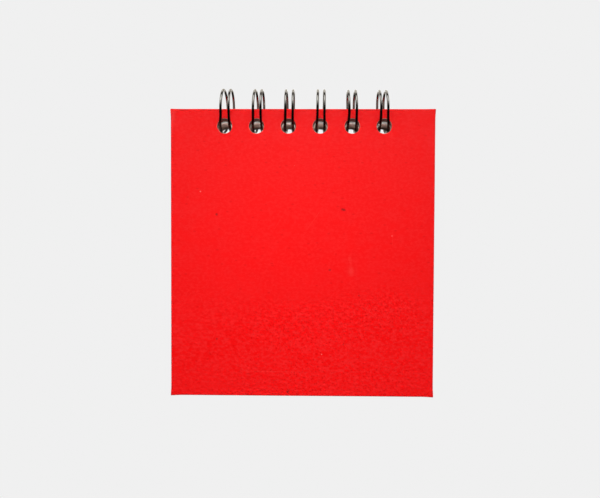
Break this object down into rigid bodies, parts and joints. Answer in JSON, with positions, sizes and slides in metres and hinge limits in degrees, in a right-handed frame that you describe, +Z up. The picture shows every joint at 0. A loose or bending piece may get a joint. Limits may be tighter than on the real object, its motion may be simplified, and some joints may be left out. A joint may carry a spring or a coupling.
{
  "type": "watercolour sketchbook",
  "caption": "Small hardback sketchbook bound along its top edge by a twin-loop wire; its covers and watercolour sheets turn over on the loops.",
  "frame": {"origin": "middle of the footprint, on the surface the book lies on", "axes": "+X along the binding to the right of the front cover, +Y from the far edge towards the binding, +Z up out of the front cover"},
  "size_m": [0.105, 0.1244, 0.0184],
  "materials": {
    "cover_paper": "matt red fibre-mottled cover paper",
    "board": "grey-brown pulp board with cut edges",
    "lining_paper": "plain off-white lining paper",
    "sheet_paper": "cold-pressed off-white watercolour paper",
    "wire": "bright nickel-plated steel wire"
  },
  "bodies": {
    "back_cover": {"back_cover_board": "board", "back_cover_wrap": "cover_paper", "back_cover_lining": "lining_paper"},
    "binding": {"twin_loop_wire": "wire"},
    "sheet_01": {"sheet_01": "sheet_paper"},
    "sheet_02": {"sheet_02": "sheet_paper"},
    "sheet_03": {"sheet_03": "sheet_paper"},
    "sheet_04": {"sheet_04": "sheet_paper"},
    "sheet_05": {"sheet_05": "sheet_paper"},
    "sheet_06": {"sheet_06": "sheet_paper"},
    "sheet_07": {"sheet_07": "sheet_paper"},
    "sheet_08": {"sheet_08": "sheet_paper"},
    "sheet_09": {"sheet_09": "sheet_paper"},
    "sheet_10": {"sheet_10": "sheet_paper"},
    "sheet_11": {"sheet_11": "sheet_paper"},
    "sheet_12": {"sheet_12": "sheet_paper"},
    "sheet_13": {"sheet_13": "sheet_paper"},
    "sheet_14": {"sheet_14": "sheet_paper"},
    "sheet_15": {"sheet_15": "sheet_paper"},
    "sheet_16": {"sheet_16": "sheet_paper"},
    "sheet_17": {"sheet_17": "sheet_paper"},
    "sheet_18": {"sheet_18": "sheet_paper"},
    "front_cover": {"front_cover_board": "board", "front_cover_wrap": "cover_paper", "front_cover_lining": "lining_paper"}
  },
  "joints": [
    {"name": "binding_turn", "type": "hinge", "parent": "back_cover", "child": "binding", "pos_m": [0, 0.05307, 0.0092], "axis": [1, 0, 0], "range_deg": [0, 180]},
    {"name": "sheet_18_turn", "type": "hinge", "parent": "back_cover", "child": "sheet_18", "pos_m": [0, 0.05307, 0.0092], "axis": [-1, 0, 0], "range_deg": [0, 180]},
    {"name": "sheet_17_turn", "type": "hinge", "parent": "sheet_18", "child": "sheet_17", "pos_m": [0, 0.05307, 0.0092], "axis": [-1, 0, 0], "range_deg": [0, 180]},
    {"name": "sheet_16_turn", "type": "hinge", "parent": "sheet_17", "child": "sheet_16", "pos_m": [0, 0.05307, 0.0092], "axis": [-1, 0, 0], "range_deg": [0, 180]},
    {"name": "sheet_15_turn", "type": "hinge", "parent": "sheet_16", "child": "sheet_15", "pos_m": [0, 0.05307, 0.0092], "axis": [-1, 0, 0], "range_deg": [0, 180]},
    {"name": "sheet_14_turn", "type": "hinge", "parent": "sheet_15", "child": "sheet_14", "pos_m": [0, 0.05307, 0.0092], "axis": [-1, 0, 0], "range_deg": [0, 180]},
    {"name": "sheet_13_turn", "type": "hinge", "parent": "sheet_14", "child": "sheet_13", "pos_m": [0, 0.05307, 0.0092], "axis": [-1, 0, 0], "range_deg": [0, 180]},
    {"name": "sheet_12_turn", "type": "hinge", "parent": "sheet_13", "child": "sheet_12", "pos_m": [0, 0.05307, 0.0092], "axis": [-1, 0, 0], "range_deg": [0, 180]},
    {"name": "sheet_11_turn", "type": "hinge", "parent": "sheet_12", "child": "sheet_11", "pos_m": [0, 0.05307, 0.0092], "axis": [-1, 0, 0], "range_deg": [0, 180]},
    {"name": "sheet_10_turn", "type": "hinge", "parent": "sheet_11", "child": "sheet_10", "pos_m": [0, 0.05307, 0.0092], "axis": [-1, 0, 0], "range_deg": [0, 180]},
    {"name": "sheet_09_turn", "type": "hinge", "parent": "sheet_10", "child": "sheet_09", "pos_m": [0, 0.05307, 0.0092], "axis": [-1, 0, 0], "range_deg": [0, 180]},
    {"name": "sheet_08_turn", "type": "hinge", "parent": "sheet_09", "child": "sheet_08", "pos_m": [0, 0.05307, 0.0092], "axis": [-1, 0, 0], "range_deg": [0, 180]},
    {"name": "sheet_07_turn", "type": "hinge", "parent": "sheet_08", "child": "sheet_07", "pos_m": [0, 0.05307, 0.0092], "axis": [-1, 0, 0], "range_deg": [0, 180]},
    {"name": "sheet_06_turn", "type": "hinge", "parent": "sheet_07", "child": "sheet_06", "pos_m": [0, 0.05307, 0.0092], "axis": [-1, 0, 0], "range_deg": [0, 180]},
    {"name": "sheet_05_turn", "type": "hinge", "parent": "sheet_06", "child": "sheet_05", "pos_m": [0, 0.05307, 0.0092], "axis": [-1, 0, 0], "range_deg": [0, 180]},
    {"name": "sheet_04_turn", "type": "hinge", "parent": "sheet_05", "child": "sheet_04", "pos_m": [0, 0.05307, 0.0092], "axis": [-1, 0, 0], "range_deg": [0, 180]},
    {"name": "sheet_03_turn", "type": "hinge", "parent": "sheet_04", "child": "sheet_03", "pos_m": [0, 0.05307, 0.0092], "axis": [-1, 0, 0], "range_deg": [0, 180]},
    {"name": "sheet_02_turn", "type": "hinge", "parent": "sheet_03", "child": "sheet_02", "pos_m": [0, 0.05307, 0.0092], "axis": [-1, 0, 0], "range_deg": [0, 180]},
    {"name": "sheet_01_turn", "type": "hinge", "parent": "sheet_02", "child": "sheet_01", "pos_m": [0, 0.05307, 0.0092], "axis": [-1, 0, 0], "range_deg": [0, 180]},
    {"name": "front_cover_turn", "type": "hinge", "parent": "sheet_01", "child": "front_cover", "pos_m": [0, 0.05307, 0.0092], "axis": [-1, 0, 0], "range_deg": [0, 180]}
  ]
}
